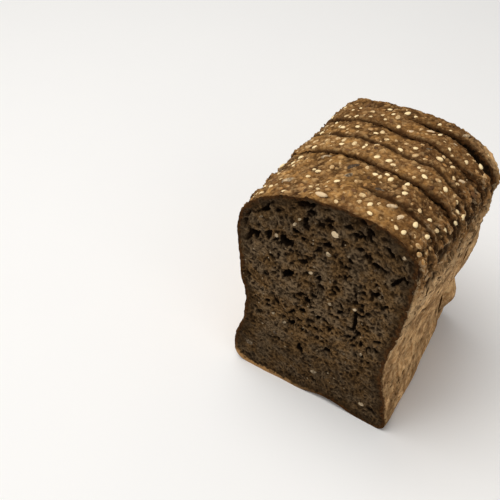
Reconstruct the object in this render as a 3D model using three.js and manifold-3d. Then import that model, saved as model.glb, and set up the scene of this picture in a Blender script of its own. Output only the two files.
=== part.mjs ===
// Half of a dark multigrain tin loaf, cut across its middle and then sliced, with seeds baked on the crust.
// Millimetres, +Z up. The cut crumb face looks along -Y, the slices follow one another along +Y to the heel.
// The origin is the middle of the loaf's box, on the surface that it stands on.
import * as THREE from "three";
import { mergeVertices } from "three/addons/utils/BufferGeometryUtils.js";
import Module from "manifold-3d";

const wasm = await Module();
wasm.setup();
const { clamp, lerp } = THREE.MathUtils;

// Section at the cut face: how far each wall stands out from the middle, and at what height
const LEFT = {
  foot: 44, footZ: 11, footRound: 11,
  waist: 37.2, waistZ: 43,
  shoulder: 41.3, shoulderZ: 86, crownPower: 2.4,
};
const RIGHT = {
  foot: 42.3, footZ: 6.5, footRound: 6.3,
  waist: 37, waistZ: 38,
  shoulder: 44.5, shoulderZ: 106, crownPower: 2,
};
const CROWN_X = 16;
const CROWN_Z = 125.4;
const FOOT_POWER = 2.6;

// Changes from the cut face to the heel, in mm at the full length, and how late they set in
const LENGTH = 91;
const CROWN_DROP = 8;
const LEFT_SPREAD = 3.5;
const LEFT_SHOULDER_SPREAD = 5;
const LEFT_CORNER_LIFT = 1.4;
const RIGHT_FOOT_LOSS = 12.5;
const RIGHT_SHOULDER_LOSS = 3.6;
const DROP_POWER = 1.5;
const FOOT_LOSS_POWER = 1.5;
const SHOULDER_LOSS_POWER = 4;
const FURTHEST_BACK = 1.1;

// Zones of the section in which those changes grow from nothing to full
const LEFT_X = [10, -36];
const LEFT_CORNER_X = [-12, -34];
const LEFT_CORNER_Z = [80, 104];
const RIGHT_X = [19, 37];
const FOOT_Z = [57, 8];
const SHOULDER_Z = [55, 90];

// Foot of the heel's right side, which stands out behind the wall of the slices
const HEEL_FOOT = { bulge: 5.8, z: 23, reach: 9.5 };
const HEEL_FOOT_Y = [75.5, 84];

// Cuts across the loaf: depth at the middle, and how much further back the cut lies for each mm to the right
const CUTS = [
  { y: 0, slope: 0.055 },
  { y: 17.7, slope: -0.025 },
  { y: 35.6, slope: -0.08 },
  { y: 51, slope: -0.105 },
  { y: 66.6, slope: -0.145 },
  { y: 80.4, slope: -0.18 },
  { y: 95, slope: -0.15 },
];
const SLICE_GAP = 0.6;
const HEEL_GAP = 2.3;
const HEEL_SWING = 0.042;
const HEEL_ROUND = 4.5;

// Crust relief: lumps all over, and a torn band under the shoulders where the loaf rose out of its tin
const LUMPS = { waves: 7, shortest: 13, longest: 34, height: 0.36 };
const TEAR = { z: 97, width: 3.6, depth: 1.1, lip: 0.5, lipAbove: 8, lipWidth: 5 };
const TEAR_X = [24, 36];
const TEAR_Y = [-3, 14];
const BARE_FOOT_Z = [0.5, 9];

// Waves by which that band wanders up and down, and by which it gapes and closes
const TEAR_WANDER = [
  { height: 2.1, perX: 0.05, perY: 0.19, start: 0 },
  { height: 1.26, perX: 0, perY: 0.47, start: 1.1 },
];
const TEAR_GAPE = { least: 0.3, swing: 0.35, perY: 0.33, start: 2 };

// Underside of the first slice, lifted a little at its cut edge
const LIFT = { x: 11, halfWidth: 17, height: 3.4, run: 13 };

// Large kernels on the crown: where each crosses the section, its depth, turn in degrees and length
const KERNELS = [
  { x: -21.9, y: 10.2, turn: 20, length: 7 },
  { x: -2.9, y: 3.5, turn: 2, length: 5.8 },
  { x: 23.2, y: 14.2, turn: 33, length: 4.6 },
  { x: 28.7, y: 12.3, turn: 67, length: 5.5 },
  { x: -3.1, y: 29.3, turn: 61, length: 7 },
  { x: -1.3, y: 22.1, turn: 70, length: 6.4 },
  { x: 13.5, y: 21.2, turn: 11, length: 5 },
  { x: -17.5, y: 33.5, turn: 26, length: 5.7 },
  { x: 15.7, y: 61.6, turn: 19, length: 4 },
  { x: 36.3, y: 55.6, turn: 35, length: 4.5 },
  { x: 2.6, y: 70.4, turn: 32, length: 4.9 },
  { x: 9.4, y: 76, turn: 16, length: 4.2 },
  { x: 22.7, y: 73.6, turn: 2, length: 3.4 },
  { x: 23.3, y: 83.9, turn: 57, length: 4.8 },
];
const KERNEL_WIDTH = 0.46;
const KERNEL_HEIGHT = 0.3;

// Smaller seeds: length, width and height, and the room that each keeps as a share of its length
const LINSEED = { count: 14, size: [4.1, 2, 1.2], room: 1.3 };
const SESAME = { count: 112, size: [2.9, 2.05, 1.25], room: 1.15 };
const SEED_SPREAD = 0.22;
const SEED_SUNK = 0.18;
const SEED_EDGE_ROOM = 0.5;
const SEEDED_ARC = [0.3, 0.72];
const SEEDED_FLATNESS = 0.4;
const SEAT_REACH = 6;
const HALVINGS = 40;
const TRIES = 60;

// The largest holes of the crumb in the cut face: place, length, breadth and turn in degrees
const HOLES = [
  { x: -32.5, z: 92, length: 7.9, breadth: 3.4, turn: 30 },
  { x: -26.8, z: 108, length: 7.7, breadth: 2.2, turn: 40 },
  { x: -16.9, z: 94.7, length: 6.2, breadth: 5.3, turn: -46 },
  { x: -14.5, z: 76.3, length: 7.8, breadth: 4.2, turn: 45 },
  { x: -7, z: 119.5, length: 7.5, breadth: 2.7, turn: 14 },
  { x: -7.4, z: 110, length: 4, breadth: 3, turn: -58 },
  { x: -11.8, z: 103.2, length: 4, breadth: 3.2, turn: -12 },
  { x: 4.3, z: 113, length: 4.2, breadth: 2.9, turn: -9 },
  { x: 3.6, z: 102.4, length: 5.6, breadth: 3, turn: 0 },
  { x: 21.8, z: 119, length: 5.3, breadth: 3.2, turn: -49 },
  { x: 30.9, z: 112.5, length: 7.1, breadth: 2.7, turn: -41 },
  { x: 25.6, z: 102.4, length: 4, breadth: 3, turn: -20 },
  { x: 27.2, z: 86.7, length: 3.8, breadth: 3.5, turn: 20 },
  { x: 35.4, z: 98.5, length: 9.5, breadth: 2.3, turn: 59 },
  { x: -4.1, z: 64.9, length: 3.8, breadth: 3.6, turn: -41 },
  { x: -20.2, z: 55.3, length: 4.8, breadth: 2.9, turn: -68 },
  { x: -11.9, z: 45.1, length: 4.1, breadth: 3.8, turn: 32 },
  { x: -6.3, z: 29.8, length: 5.8, breadth: 3.9, turn: -87 },
  { x: 19.9, z: 64.9, length: 13, breadth: 2.2, turn: -89 },
  { x: 33.7, z: 10.5, length: 4.2, breadth: 3.4, turn: -32 },
];
const HOLE_DEPTH = 1.4;

// Starts of the draws that spread lumps and seeds
const LUMP_DRAW = 2077;
const SEED_DRAW = 4111;

// Fineness of the faceted crust
const CRUST_STEPS = 70;
const BASE_STEPS = 12;
const FOOT_STEPS = 8;
const WALL_STEP = 3;
const CROWN_STEPS = 24;
const RING_STEP = 5;
const ROUND_STEPS = 3;

const CRUST_COLOURS = [0x8a6a43, 0x87663f, 0x8c6c46, 0x856540, 0x8a6945, 0x83633e];

// Draws between 0 and 1 from a fixed start, so that the loaf comes out the same each time
function drawsFrom(start) {
  let state = start;
  return () => {
    state = (state * 16807) % 2147483647;
    return state / 2147483647;
  };
}

// Grows from 0 to 1 over a zone, level at both ends
function within([from, to], value) {
  const t = clamp((value - from) / (to - from), 0, 1);
  return t * t * (3 - 2 * t);
}

// Falls from 1 at no distance towards 0 on both sides
function bell(distance) {
  return Math.exp(-(distance ** 2));
}

// Quarter of a superellipse as [x, z], from its end beside the centre to its end above or below it
function quarter(centre, reach, power, steps) {
  return Array.from({ length: steps + 1 }, (_, i) => {
    const angle = (i / steps) * (Math.PI / 2);
    const across = Math.cos(angle) ** (2 / power);
    const up = Math.sin(angle) ** (2 / power);
    return [centre[0] + reach[0] * across, centre[1] + reach[1] * up];
  });
}

// One side of the section from its edge on the base up to the crown: side -1 is the left one, 1 the right one
function wallAndCrown(form, side) {
  const footCentre = [form.foot - form.footRound, form.footZ];
  const foot = quarter(footCentre, [form.footRound, -form.footZ], FOOT_POWER, FOOT_STEPS).reverse();
  const wall = [];
  for (let z = form.footZ + WALL_STEP; z < form.shoulderZ; z += WALL_STEP) {
    const flare = within([form.waistZ, form.footZ], z) * (form.foot - form.waist);
    const bulge = within([form.waistZ, form.shoulderZ], z) * (form.shoulder - form.waist);
    wall.push([form.waist + flare + bulge, z]);
  }
  const crownCentre = [side * CROWN_X, form.shoulderZ];
  const crownReach = [form.shoulder - side * CROWN_X, CROWN_Z - form.shoulderZ];
  const crown = quarter(crownCentre, crownReach, form.crownPower, CROWN_STEPS);
  return [...foot, ...wall, ...crown].map(([out, z]) => new THREE.Vector3(side * out, 0, z));
}

// The crust's line at the cut face, from the left edge of the base over the crown to its right edge
const leftSide = wallAndCrown(LEFT, -1);
const rightSide = wallAndCrown(RIGHT, 1).reverse();
const crustLine = new THREE.CatmullRomCurve3([...leftSide, ...rightSide.slice(1)]);
crustLine.arcLengthDivisions = 800;

// The way out of the crust at part u of its line
function outwardAt(u) {
  const tangent = crustLine.getTangentAt(u);
  return new THREE.Vector3(-tangent.z, 0, tangent.x);
}

// Plane waves in all directions whose sum makes the crust's lumps
const nextLump = drawsFrom(LUMP_DRAW);
const lumpWaves = Array.from({ length: LUMPS.waves }, () => {
  const turn = 2 * Math.PI * nextLump();
  const rise = 2 * nextLump() - 1;
  const flat = Math.sqrt(1 - rise * rise);
  const rate = (2 * Math.PI) / lerp(LUMPS.shortest, LUMPS.longest, nextLump());
  const direction = new THREE.Vector3(flat * Math.cos(turn), flat * Math.sin(turn), rise);
  return { push: direction.multiplyScalar(rate), phase: 2 * Math.PI * nextLump() };
});

function lumps(point) {
  const sum = lumpWaves.reduce((total, wave) => total + Math.sin(wave.push.dot(point) + wave.phase), 0);
  return (LUMPS.height * sum) / Math.sqrt(LUMPS.waves / 2);
}

// Torn band along both shoulders: a wandering groove with a lip of crust over it
function tear(point) {
  const wander = TEAR_WANDER.reduce((sum, { height, perX, perY, start }) => {
    return sum + height * Math.sin(perX * point.x + perY * point.y + start);
  }, 0);
  const above = point.z - TEAR.z - wander;
  const groove = TEAR.depth * bell(above / TEAR.width);
  const lip = TEAR.lip * bell((above - TEAR.lipAbove) / TEAR.lipWidth);
  const { least, swing, perY, start } = TEAR_GAPE;
  const open = least + swing * (1 + Math.sin(perY * point.y + start));
  return within(TEAR_X, Math.abs(point.x)) * within(TEAR_Y, point.y) * open * (lip - groove);
}

// A point of the cut face's section as it lies at depth y
function formed({ x, z }, y) {
  const back = clamp(y / LENGTH, 0, FURTHEST_BACK);
  const onRight = within(RIGHT_X, x);
  const onShoulder = within(SHOULDER_Z, z);
  const onCorner = within(LEFT_CORNER_X, x) * within(LEFT_CORNER_Z, z);
  const spread = within(LEFT_X, x) * back * (LEFT_SPREAD + LEFT_SHOULDER_SPREAD * onShoulder);
  const footLoss = RIGHT_FOOT_LOSS * onRight * within(FOOT_Z, z) * back ** FOOT_LOSS_POWER;
  const shoulderLoss = RIGHT_SHOULDER_LOSS * onRight * onShoulder * back ** SHOULDER_LOSS_POWER;
  const onHeelFoot = within(HEEL_FOOT_Y, y) * bell((z - HEEL_FOOT.z) / HEEL_FOOT.reach);
  const heelFoot = HEEL_FOOT.bulge * onRight * onHeelFoot;
  const drop = (z / CROWN_Z) * CROWN_DROP * back ** DROP_POWER;
  const lift = LEFT_CORNER_LIFT * onCorner * back;
  return new THREE.Vector3(x - spread - footLoss - shoulderLoss + heelFoot, y, z - drop + lift);
}

function depthOf(cut, x) {
  return cut.y + cut.slope * x;
}

// Crust point at part u of the crust line on an upright cut, drawn in by inset
function crustPoint(u, cut, inset = 0) {
  const along = crustLine.getPointAt(u);
  const near = formed(along, depthOf(cut, along.x));
  const point = formed(along, depthOf(cut, near.x));
  const raised = within(BARE_FOOT_Z, point.z) * (lumps(point) + tear(point));
  point.addScaledVector(outwardAt(u), raised - inset);
  point.y = depthOf(cut, point.x);
  point.z = Math.max(point.z, inset);
  return point;
}

// How far the underside stands off the surface: only the first slice lifts, at its cut edge
function underside(x, depth) {
  const across = Math.max(0, 1 - ((x - LIFT.x) / LIFT.halfWidth) ** 2);
  return LIFT.height * across ** 2 * within([LIFT.run, 0], depth);
}

// One closed ring of the loaf on a cut: the crust line, then back along the base
function ring(cut, inset = 0) {
  const crust = Array.from({ length: CRUST_STEPS + 1 }, (_, i) => crustPoint(i / CRUST_STEPS, cut, inset));
  const base = Array.from({ length: BASE_STEPS - 1 }, (_, i) => {
    const point = crust[CRUST_STEPS].clone().lerp(crust[0], (i + 1) / BASE_STEPS);
    point.z = inset + underside(point.x, cut.y);
    return point;
  });
  return [...crust, ...base];
}

// The middle of a flat ring, from which all of its edge can be seen
function hubOf(outline, cut) {
  const middle = new THREE.Box3().setFromPoints(outline).getCenter(new THREE.Vector3());
  middle.y = depthOf(cut, middle.x);
  return middle;
}

// Closed geometry through the rings of a row of cuts, with flat ends
function ringSolid(rows) {
  const rings = rows.map(({ cut, inset }) => ring(cut, inset));
  const count = rings[0].length;
  const last = rings.length - 1;
  const hubs = [hubOf(rings[0], rows[0].cut), hubOf(rings[last], rows[last].cut)];
  const index = [];
  for (let i = 0; i < count; i++) {
    const next = (i + 1) % count;
    for (let row = 0; row < last; row++) {
      const [a, b] = [row * count + i, row * count + next];
      index.push(a, b, b + count, a, b + count, a + count);
    }
    index.push(rings.length * count, next, i);
    index.push(rings.length * count + 1, last * count + i, last * count + next);
  }
  const positions = [...rings.flat(), ...hubs].flatMap((point) => point.toArray());
  const geometry = new THREE.BufferGeometry();
  geometry.setAttribute("position", new THREE.Float32BufferAttribute(positions, 3));
  return geometry.setIndex(index);
}

function solidOf(geometry) {
  const bare = geometry.clone();
  bare.deleteAttribute("normal");
  bare.deleteAttribute("uv");
  const merged = mergeVertices(bare, 1e-4);
  const vertProperties = merged.attributes.position.array;
  const triVerts = new Uint32Array(merged.index.array);
  return new wasm.Manifold(new wasm.Mesh({ numProp: 3, vertProperties, triVerts }));
}

function geometryOf(solid) {
  const mesh = solid.getMesh();
  const geometry = new THREE.BufferGeometry();
  geometry.setAttribute("position", new THREE.BufferAttribute(mesh.vertProperties, 3));
  geometry.setIndex(new THREE.BufferAttribute(mesh.triVerts, 1));
  geometry.computeVertexNormals();
  return geometry;
}

// Front and back of each slice, with the saw's gap taken off its front, and the heel swung open to the right
const slices = CUTS.slice(0, -1).map((cut, i) => {
  const slice = { name: `slice_${i + 1}`, front: { ...cut }, back: CUTS[i + 1], round: 0 };
  slice.front.y += i > 0 ? SLICE_GAP : 0;
  return slice;
});
const heel = slices.at(-1);
heel.name = "heel";
heel.front = { y: CUTS.at(-2).y + HEEL_GAP, slope: CUTS.at(-2).slope + HEEL_SWING };
heel.round = HEEL_ROUND;

// A slice without its seeds: rings from its front to its back, the heel's drawn in to a rounded end
function coreOf({ front, back, round }) {
  const end = { y: back.y - round, slope: back.slope };
  const steps = Math.round((end.y - front.y) / RING_STEP);
  const rows = Array.from({ length: steps + 1 }, (_, i) => {
    const part = i / steps;
    return { cut: { y: lerp(front.y, end.y, part), slope: lerp(front.slope, end.slope, part) }, inset: 0 };
  });
  for (let i = 1; round && i <= ROUND_STEPS; i++) {
    const angle = (i / ROUND_STEPS) * (Math.PI / 2);
    const cut = { y: end.y + round * Math.sin(angle), slope: end.slope };
    rows.push({ cut, inset: round * (1 - Math.cos(angle)) });
  }
  return ringSolid(rows);
}

// Distance of a point behind an upright cut
function behind(point, cut) {
  return (point.y - depthOf(cut, point.x)) / Math.hypot(1, cut.slope);
}

// The slice on which a seed of the given length lies clear of the cuts on both sides
function sliceUnder(point, length) {
  const room = length / 2 + SEED_EDGE_ROOM;
  return slices.find(({ front, back, round }) => {
    return behind(point, front) > room && -behind(point, back) > room + round;
  });
}

// Part of the crust's line at which it passes over x on the crown, by halving
function partOver(x) {
  let [low, high] = SEEDED_ARC;
  for (let i = 0; i < HALVINGS; i++) {
    const half = (low + high) / 2;
    [low, high] = crustLine.getPointAt(half).x < x ? [half, high] : [low, half];
  }
  return low;
}

// The kernels, each on the slice on which it lies
function kernelSeeds() {
  return KERNELS.map(({ x, y, turn, length }) => {
    const u = partOver(x);
    const point = crustPoint(u, { y, slope: 0 });
    const [width, height] = [KERNEL_WIDTH * length, KERNEL_HEIGHT * length];
    const slice = sliceUnder(point, length);
    return { u, point, turn: THREE.MathUtils.degToRad(turn), slice, length, width, height };
  });
}

// Places for one kind of seed: draws on the crown, kept if they are clear of the cuts and of earlier seeds
function scatter(kind, taken, next) {
  const goal = taken.length + kind.count;
  for (let tries = 0; taken.length < goal && tries < kind.count * TRIES; tries++) {
    const u = lerp(...SEEDED_ARC, next());
    const point = crustPoint(u, { y: LENGTH * next(), slope: 0 });
    const turn = Math.PI * next();
    const [length, width, height] = kind.size.map(scaledBy(1 + SEED_SPREAD * (2 * next() - 1)));
    const slice = sliceUnder(point, length);
    const reach = (other) => (kind.room * (length + other.length)) / 2;
    const crowded = taken.some((other) => other.point.distanceTo(point) < reach(other));
    if (!slice || crowded || outwardAt(u).z < SEEDED_FLATNESS) continue;
    taken.push({ u, point, turn, slice, length, width, height });
  }
}

function scaledBy(scale) {
  return (side) => side * scale;
}

// A seed as a flattened ball that lies in the crust of its slice, sunk a little
function seedSolid({ u, point, turn, length, width, height }, coreMesh) {
  const outward = outwardAt(u);
  const along = crustLine.getTangentAt(u).applyAxisAngle(outward, turn);
  const across = outward.clone().cross(along);
  const above = point.clone().addScaledVector(outward, SEAT_REACH);
  const [hit] = new THREE.Raycaster(above, outward.clone().negate()).intersectObject(coreMesh);
  const seat = hit.point.addScaledVector(outward, (-SEED_SUNK * height) / 2);
  const frame = new THREE.Matrix4().makeBasis(along, across, outward).setPosition(seat);
  const ball = new THREE.IcosahedronGeometry(1 / 2, 0).scale(length, width, height);
  return solidOf(ball.applyMatrix4(frame));
}

// Holes of the crumb as long balls set into the cut face, each as deep as a share of its breadth
function holeSolids() {
  return HOLES.map(({ x, z, length, breadth, turn }) => {
    const hole = new THREE.IcosahedronGeometry(1 / 2, 0).scale(length, HOLE_DEPTH * breadth, breadth);
    hole.rotateY(-THREE.MathUtils.degToRad(turn));
    return solidOf(hole.translate(x, depthOf(CUTS[0], x), z));
  });
}

// One slice with its seeds fused on, and the first one with the holes of its crumb
function sliceMesh(slice, seeds, holes, colour) {
  const core = coreOf(slice);
  const coreMesh = new THREE.Mesh(core, new THREE.MeshBasicMaterial());
  let solid = solidOf(core);
  for (const seed of seeds) {
    solid = solid.add(seedSolid(seed, coreMesh));
  }
  for (const hole of holes) {
    solid = solid.subtract(hole);
  }
  const material = new THREE.MeshStandardMaterial({ color: colour, roughness: 0.9, metalness: 0 });
  const mesh = new THREE.Mesh(geometryOf(solid), material);
  mesh.name = slice.name;
  return mesh;
}

const nextSeed = drawsFrom(SEED_DRAW);
const seeds = kernelSeeds();
for (const kind of [LINSEED, SESAME]) {
  scatter(kind, seeds, nextSeed);
}

const loaf = new THREE.Group();
slices.forEach((slice, i) => {
  const own = seeds.filter((seed) => seed.slice === slice);
  const holes = i === 0 ? holeSolids() : [];
  loaf.add(sliceMesh(slice, own, holes, CRUST_COLOURS[i]));
});

// The loaf is shifted so that its box is centred over the origin
const middle = new THREE.Box3().setFromObject(loaf).getCenter(new THREE.Vector3());
loaf.children.forEach((mesh) => mesh.position.set(-middle.x, -middle.y, 0));

export default loaf;
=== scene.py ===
import itertools
import math
from types import SimpleNamespace as Values
from typing import NamedTuple

import bpy
import numpy as np
from mathutils import Euler, Matrix, Vector, geometry, kdtree


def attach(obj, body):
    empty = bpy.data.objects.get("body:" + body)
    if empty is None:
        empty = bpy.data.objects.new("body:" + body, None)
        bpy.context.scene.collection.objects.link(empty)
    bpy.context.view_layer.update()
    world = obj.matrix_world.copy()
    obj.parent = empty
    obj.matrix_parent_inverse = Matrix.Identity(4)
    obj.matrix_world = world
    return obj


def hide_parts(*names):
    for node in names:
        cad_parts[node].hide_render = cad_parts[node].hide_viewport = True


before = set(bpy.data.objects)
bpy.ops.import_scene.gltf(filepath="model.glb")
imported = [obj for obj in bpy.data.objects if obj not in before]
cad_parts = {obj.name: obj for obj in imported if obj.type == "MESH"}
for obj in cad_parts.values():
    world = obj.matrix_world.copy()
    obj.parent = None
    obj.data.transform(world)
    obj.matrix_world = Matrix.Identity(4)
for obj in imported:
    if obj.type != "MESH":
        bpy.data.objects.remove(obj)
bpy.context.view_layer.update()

# The loaf's frame is that of its cut face, in mm. The part's frame is shifted from it and is in metres.
MM = 0.001
LOAF_SHIFT = np.array([2.5712, -49.7274, 0.0])

# Section at the cut face, as in the solids
LEFT = Values(
    foot=44, foot_z=11, foot_round=11, waist=37.2, waist_z=43, shoulder=41.3, shoulder_z=86, power=2.4,
)
RIGHT = Values(
    foot=42.3, foot_z=6.5, foot_round=6.3, waist=37, waist_z=38, shoulder=44.5, shoulder_z=106, power=2,
)
CROWN_X = 16
CROWN_Z = 125.4
FOOT_POWER = 2.6
FOOT_STEPS = 8
WALL_STEP = 3
CROWN_STEPS = 24
LINE_DIVISIONS = 800
TANGENT_STEP = 0.0001

# Changes from the cut face to the heel, as in the solids
LENGTH = 91
FURTHEST_BACK = 1.1
CROWN_DROP = 8
DROP_POWER = 1.5
LEFT_SPREAD = 3.5
LEFT_SHOULDER_SPREAD = 5
LEFT_CORNER_LIFT = 1.4
RIGHT_FOOT_LOSS = 12.5
FOOT_LOSS_POWER = 1.5
RIGHT_SHOULDER_LOSS = 3.6
SHOULDER_LOSS_POWER = 4
LEFT_X = (10, -36)
LEFT_CORNER_X = (-12, -34)
LEFT_CORNER_Z = (80, 104)
RIGHT_X = (19, 37)
FOOT_Z = (57, 8)
SHOULDER_Z = (55, 90)
HEEL_FOOT = Values(bulge=5.8, z=23, reach=9.5)
HEEL_FOOT_Y = (75.5, 84)

# Cuts as depth at the middle and slope, and the slices between them, as in the solids
CUTS = [(0, 0.055), (17.7, -0.025), (35.6, -0.08), (51, -0.105), (66.6, -0.145), (80.4, -0.18), (95, -0.15)]
SLICE_GAP = 0.6
HEEL_CUT = len(CUTS) - 2
HEEL_GAP = 2.3
HEEL_SWING = 0.042
HEEL_ROUND = 4.5

# Lumps, torn band and lifted edge, as in the solids
LUMP_WAVES = 7
LUMP_SHORTEST = 13
LUMP_LONGEST = 34
LUMP_HEIGHT = 0.36
LUMP_DRAW = 2077
TEAR = Values(z=97, width=3.6, depth=1.1, lip=0.5, lip_above=8, lip_width=5)
TEAR_X = (24, 36)
TEAR_Y = (-3, 14)
TEAR_WANDER = [(2.1, 0.05, 0.19, 0), (1.26, 0, 0.47, 1.1)]
TEAR_GAPE = Values(least=0.3, swing=0.35, per_y=0.33, start=2)
BARE_FOOT_Z = (0.5, 9)
LIFT = Values(x=11, half_width=17, height=3.4, run=13)

# Seeds, as in the solids. A kernel has its x, y, turn in degrees and length, and how pale it is.
KERNELS = [
    (-21.9, 10.2, 20, 7, 0.5), (-2.9, 3.5, 2, 5.8, 1.0), (23.2, 14.2, 33, 4.6, 0.7),
    (28.7, 12.3, 67, 5.5, 0.85), (-3.1, 29.3, 61, 7, 0.0), (-1.3, 22.1, 70, 6.4, 0.3),
    (13.5, 21.2, 11, 5, 0.1), (-17.5, 33.5, 26, 5.7, 0.5), (15.7, 61.6, 19, 4, 0.1),
    (36.3, 55.6, 35, 4.5, 0.7), (2.6, 70.4, 32, 4.9, 0.8), (9.4, 76, 16, 4.2, 0.85),
    (22.7, 73.6, 2, 3.4, 0.7), (23.3, 83.9, 57, 4.8, 0.5),
]
KERNEL_WIDTH = 0.46
KERNEL_HEIGHT = 0.3
KERNEL_SUNK = 0.5
LINSEED = Values(count=14, size=(4.1, 2, 1.2), room=1.3, sunk=0.18, tones=(0.3, 1.15))
SESAME = Values(count=112, size=(2.9, 2.05, 1.25), room=1.15, sunk=0.18, tones=(0.3, 1.15))
SEED_SPREAD = 0.22
SEED_EDGE_ROOM = 0.5
SEED_DRAW = 4111
SEEDED_ARC = (0.3, 0.72)
SEEDED_FLATNESS = 0.4
HALVINGS = 40
TRIES = 60

# More sesame than in the solids, deep in the crust but not on the heel's lobe
BURIED = Values(count=150, size=(2.7, 1.8, 1.1), room=0.9, sunk=0.7, tones=(0, 0.55))
BURIED_DRAW = 911
BARE_HEEL_X = 22

# Holes of the cut face as x, z, length, breadth and turn in degrees: the solids' 20, and smaller ones
HOLES = [
    (-32.5, 92, 7.9, 3.4, 30), (-26.8, 108, 7.7, 2.2, 40), (-16.9, 94.7, 6.2, 5.3, -46),
    (-14.5, 76.3, 7.8, 4.2, 45), (-7, 119.5, 7.5, 2.7, 14), (-7.4, 110, 4, 3, -58),
    (-11.8, 103.2, 4, 3.2, -12), (4.3, 113, 4.2, 2.9, -9), (3.6, 102.4, 5.6, 3, 0),
    (21.8, 119, 5.3, 3.2, -49), (30.9, 112.5, 7.1, 2.7, -41), (25.6, 102.4, 4, 3, -20),
    (27.2, 86.7, 3.8, 3.5, 20), (35.4, 98.5, 9.5, 2.3, 59), (-4.1, 64.9, 3.8, 3.6, -41),
    (-20.2, 55.3, 4.8, 2.9, -68), (-11.9, 45.1, 4.1, 3.8, 32), (-6.3, 29.8, 5.8, 3.9, -87),
    (19.9, 64.9, 13, 2.2, -89), (33.7, 10.5, 4.2, 3.4, -32),
    (16, 114, 4, 2.3, -2), (14.6, 99.1, 3.6, 2.4, -53), (1.8, 57.1, 4.3, 2.2, 47),
    (23.8, 52.7, 5.5, 1.6, -89), (1.3, 48.9, 3.3, 2.7, 22), (-6.6, 68, 2.8, 2.6, -32),
    (32.6, 82, 4, 1.9, 54), (18.7, 80.9, 4.1, 1.8, 82), (2.6, 11.9, 4, 2.3, 36),
    (-5.8, 57.2, 3, 2.8, -22), (7.9, 37.8, 3.2, 2.8, 12),
]

# Fineness of the meshes in mm
CRUST_STEP = 0.45
EDGE_ROWS = (0, 0.18, 0.4, 0.68)
BASE_STEP = 1.2
FRONT_STEP = 0.43
HIDDEN_STEP = 1.3
END_STEP = 0.65
ROUND_ROWS = 10

# Draws and noise
DRAW_FACTOR = 16807
DRAW_MODULUS = 2147483647
NOISE_CELLS = 64
NOISE_DRAW = 5
NOISE_SHIFT = 17.3
NOISE_GAIN = 1.6


def smooth(zone, value):
    """Grows from 0 to 1 over a zone, level at both ends."""
    start, end = zone
    part = np.clip((value - start) / (end - start), 0, 1)
    return part * part * (3 - 2 * part)


def mix(low, high, part):
    """What lies between two values at a part of the way."""
    return low + (high - low) * part


def bell(value):
    """A smooth hump: 1 at 0, and nearly 0 beyond 2."""
    return np.exp(-value * value)


def axes(points):
    """The x, y and z of points."""
    return np.moveaxis(points, -1, 0)


def draws_from(start):
    """Draws between 0 and 1, the same ones as in the solids."""
    state = start
    while True:
        state = state * DRAW_FACTOR % DRAW_MODULUS
        yield state / DRAW_MODULUS


# Smooth random fields in space
GRADIENTS = np.random.default_rng(NOISE_DRAW).normal(size=(NOISE_CELLS,) * 3 + (3,))
GRADIENTS /= np.linalg.norm(GRADIENTS, axis=-1, keepdims=True)
CORNERS = list(itertools.product((0, 1), repeat=3))


def noise(points, size, place=0):
    """Smooth noise of about -1 to 1 at points, with waves of the given size or sizes in mm."""
    spots = points / np.asarray(size, float) + NOISE_SHIFT * place
    whole = np.floor(spots).astype(int)
    part = spots - whole
    weight = part ** 3 * (part * (part * 6 - 15) + 10)
    total = np.zeros(points.shape[:-1])
    for corner in CORNERS:
        index = (whole + corner) % NOISE_CELLS
        slope = GRADIENTS[index[..., 0], index[..., 1], index[..., 2]]
        share = np.prod(np.where(corner, weight, 1 - weight), axis=-1)
        total += share * np.sum(slope * (part - corner), axis=-1)
    return NOISE_GAIN * total


def ridges(points, size, place=0):
    """Noise with sharp ridges: 1 on a ridge, falling to about 0 between them."""
    return 1 - np.abs(noise(points, size, place))


class Waves(NamedTuple):
    """Noise of a size and a height in mm, at a place of its own. Each layer is half as large and high."""

    size: float | tuple
    height: float
    place: int
    layers: int = 1

    def at(self, points, shift=0):
        size = np.asarray(self.size, float)
        place = self.place + shift
        total = sum(noise(points, size / 2 ** i, place + i) / 2 ** i for i in range(self.layers))
        return self.height * total


# Form of the loaf
def quarter(centre, reach, power, steps):
    """Quarter of a superellipse from its end beside the centre to its end above or below it."""
    angle = np.linspace(0, math.pi / 2, steps + 1)
    across = np.abs(np.cos(angle)) ** (2 / power)
    up = np.sin(angle) ** (2 / power)
    return np.stack([centre[0] + reach[0] * across, centre[1] + reach[1] * up], axis=1)


def wall_and_crown(form, side):
    """One side of the section from its edge on the base up to the crown."""
    foot_centre = (form.foot - form.foot_round, form.foot_z)
    foot = quarter(foot_centre, (form.foot_round, -form.foot_z), FOOT_POWER, FOOT_STEPS)[::-1]
    z = np.arange(form.foot_z + WALL_STEP, form.shoulder_z, WALL_STEP)
    flare = smooth((form.waist_z, form.foot_z), z) * (form.foot - form.waist)
    bulge = smooth((form.waist_z, form.shoulder_z), z) * (form.shoulder - form.waist)
    wall = np.stack([form.waist + flare + bulge, z], axis=1)
    crown_reach = (form.shoulder - side * CROWN_X, CROWN_Z - form.shoulder_z)
    crown = quarter((side * CROWN_X, form.shoulder_z), crown_reach, form.power, CROWN_STEPS)
    return np.concatenate([foot, wall, crown]) * (side, 1)


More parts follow.
